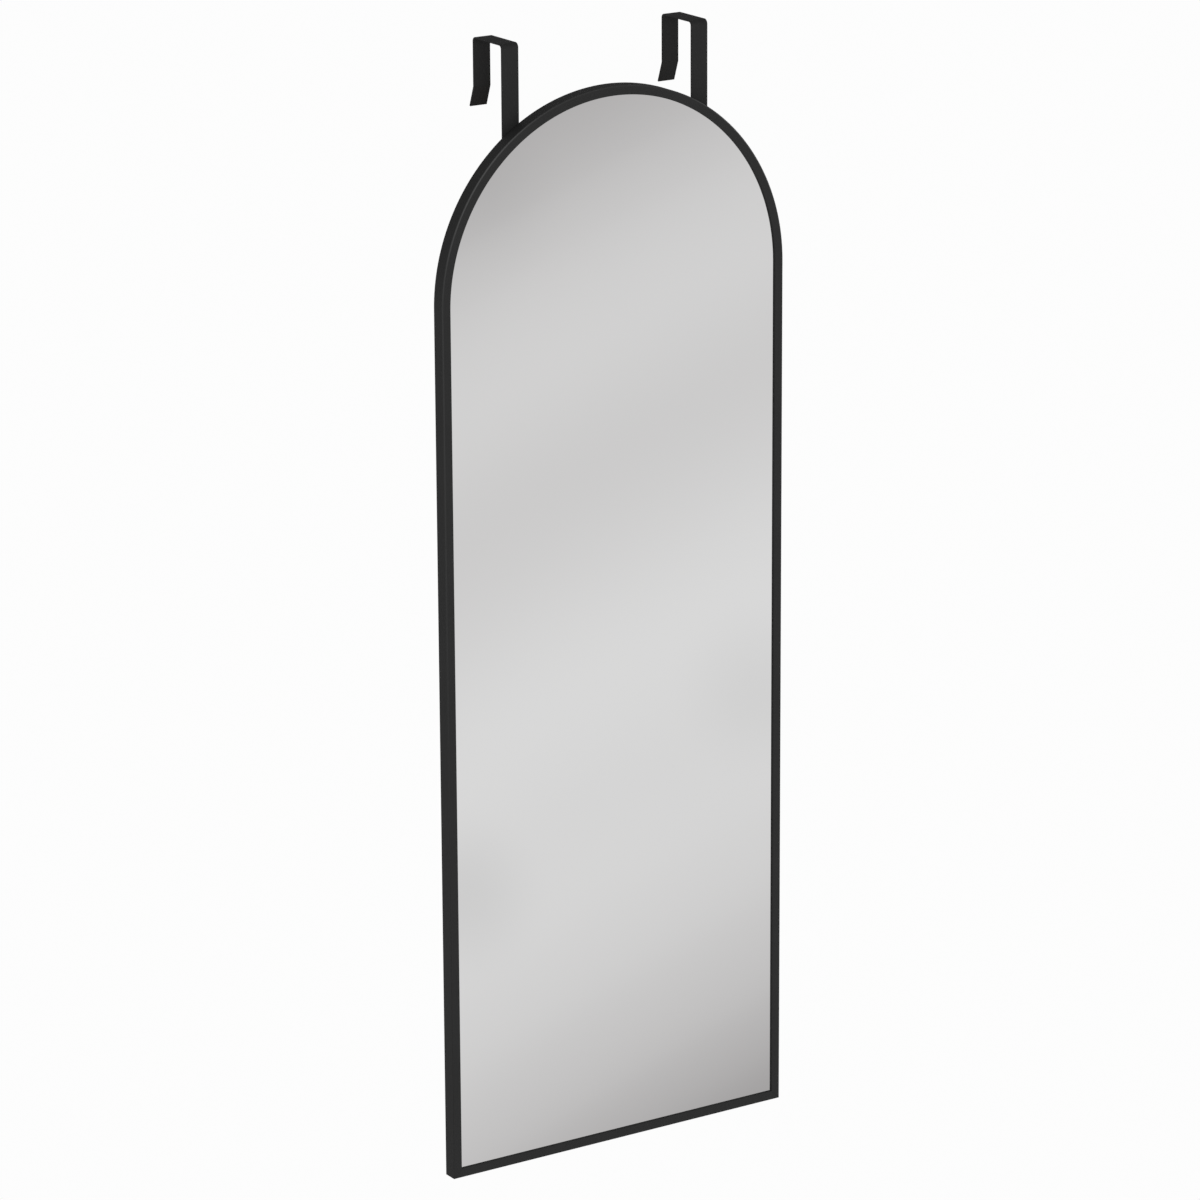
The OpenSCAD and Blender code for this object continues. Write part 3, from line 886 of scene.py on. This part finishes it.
floor = staged(
    "floor", floor_paint.material, bmesh.ops.create_grid,
    x_segments=2, y_segments=2, size=FLOOR_REACH,
)
floor.location.z = FLOOR_HEIGHT
floor.visible_glossy = False
floor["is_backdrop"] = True

# A round tent of pale cloth stands about the set, where only metal and glass see it. Its
# light falls off in soft bands, which slope down to the right as the mirror shows them. The
# cloth looks a little rosier where less light reaches it.
TENT_REACH = 4.2
TENT_MIDDLE = Vector((0, 0, -0.6))
TENT_AROUND = 64
TENT_UPRIGHT = 48
TENT_SLOPE = 0.55
TENT_LOWEST = -0.86
TENT_BAND = 0.5
TENT_STOPS = (
    (0.00, 0.37), (0.06, 0.46), (0.12, 0.58), (0.20, 0.685), (0.28, 0.755), (0.38, 0.77),
    (0.48, 0.79), (0.56, 0.74), (0.65, 0.69), (0.76, 0.73), (0.84, 0.675), (0.90, 0.58),
    (1.00, 0.46),
)
TENT_ROSE = 0.06
TENT_PLAIN = 0.8
TENT_TOP = 0.24
TENT_DIMS = (0.2, 0.5)
TENT_DIMS_LOWER_BEHIND = 0.25
TENT_BEHIND = 0.2
TENT_SHADOWS = (((0.505, -0.405), 0.08), ((0.637, -0.318), 0.045), ((0.52, -0.11), 0.05))
TENT_SHADOW_REACH = 0.042

tent_material = bpy.data.materials.new("tent_cloth")
cloth = Wiring(tent_material, "ShaderNodeOutputMaterial")
facing = cloth.vector_math("NORMALIZE", cloth.place())["Vector"]
right, back, up = cloth.parted(facing)
turn = cloth.math("ARCTAN2", right, -back)
rise = cloth.math("ARCSINE", up)
band = cloth.math("PINGPONG", (rise - TENT_SLOPE * turn - TENT_LOWEST) / TENT_BAND, 1.0)
stops = [
    (place, (level * (1 + TENT_ROSE * (TENT_PLAIN - level)), level, level, 1))
    for place, level in TENT_STOPS
]
light = cloth.add("ShaderNodeValToRGB", {"Fac": band}, stops=stops)["Color"]
# What stands behind the cloth dims it softly in three spots, each at its own turn and rise.
for (spot_turn, spot_rise), dimming in TENT_SHADOWS:
    from_spot = cloth.length(cloth.joined(X=turn - spot_turn, Y=rise - spot_rise))
    shadow = dimming * cloth.between(from_spot, TENT_SHADOW_REACH, 0.0)
    light = cloth.blend(shadow, light, grey(0.0))
# It dims towards the top as well, and behind the mirror from lower down.
dim = up + TENT_DIMS_LOWER_BEHIND * cloth.between(back, -TENT_BEHIND, TENT_BEHIND)
light = cloth.blend(cloth.between(dim, *TENT_DIMS), light, grey(TENT_TOP))
cloth.show(glow(cloth, light))

tent = staged(
    "light_tent", tent_material, bmesh.ops.create_uvsphere,
    u_segments=TENT_AROUND, v_segments=TENT_UPRIGHT, radius=TENT_REACH,
)
tent.location = TENT_MIDDLE
for ray in ("camera", "diffuse", "shadow", "volume_scatter"):
    setattr(tent, "visible_" + ray, False)
tent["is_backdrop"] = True

# The world is plain white wherever it is seen, and lights the mirror about half as strongly.
AMBIENT = 0.55

backdrop = bpy.data.worlds.new("backdrop")
bpy.context.scene.world = backdrop
sky = Wiring(backdrop, "ShaderNodeOutputWorld")
strength = sky.add("ShaderNodeMapRange", {"Value": shown(sky), "To Min": AMBIENT, "To Max": 1.0})
white_sky = {"Color": grey(WHITE), "Strength": strength["Result"]}
sky.show(sky.add("ShaderNodeBackground", white_sky)["Background"])

# Three square lamps face the mirror: each one's place, its width in metres and its watts.
LAMPS = {
    "key_lamp": ((-1.1, -3.1, 0.4), 1.6, 33.0),
    "fill_lamp": ((2.2, -2.6, 0.2), 1.8, 16.0),
    "back_lamp": ((0.6, 2.8, 0.4), 1.8, 26.0),
}
for name, (place, width, power) in LAMPS.items():
    lamp = bpy.data.objects.new(name, bpy.data.lights.new(name, "AREA"))
    bpy.context.scene.collection.objects.link(lamp)
    lamp.data.size = width
    lamp.data.energy = power
    lamp.location = place
    lamp.rotation_euler = (TENT_MIDDLE - Vector(place)).to_track_quat("-Z", "Y").to_euler()
    lamp.visible_camera = False
    lamp.visible_glossy = False

bpy.context.scene.view_settings.view_transform = "Standard"

low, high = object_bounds()
